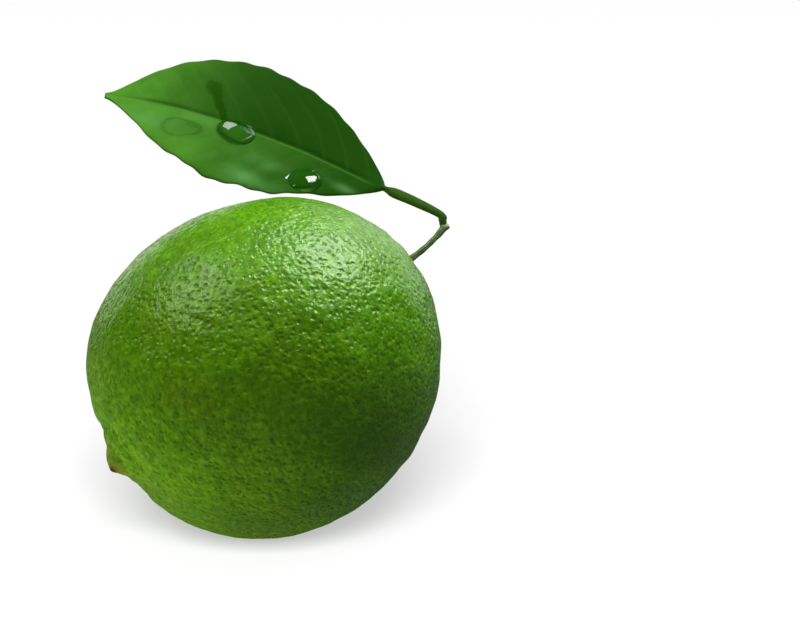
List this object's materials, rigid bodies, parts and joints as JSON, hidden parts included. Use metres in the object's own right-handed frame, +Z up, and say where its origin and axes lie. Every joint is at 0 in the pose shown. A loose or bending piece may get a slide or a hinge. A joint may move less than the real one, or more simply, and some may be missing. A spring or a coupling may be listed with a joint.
{
  "type": "lime",
  "caption": "Whole green lime resting on its side, with its nipple, calyx button, short cut twig and a leaf with a winged petiole.",
  "frame": {"origin": "centre of the small flat spot that the fruit rests on", "axes": "+Z up from the surface it rests on; the nipple points to -X and a little to -Y, the stem end is raised towards +X and +Y, and the leaf runs back over the top towards -X"},
  "size_m": [0.0596, 0.0629, 0.0737],
  "materials": {
    "rind": "glossy green citrus rind with fine oil-gland dimples",
    "calyx": "matt, dry, pale green to tan",
    "twig": "matt green stalk with a dry tan cut end",
    "leaf": "satin dark green, veined"
  },
  "bodies": {
    "root": {"fruit": "rind", "calyx": "calyx", "twig": "twig", "leaf": "leaf"}
  },
  "joints": []
}
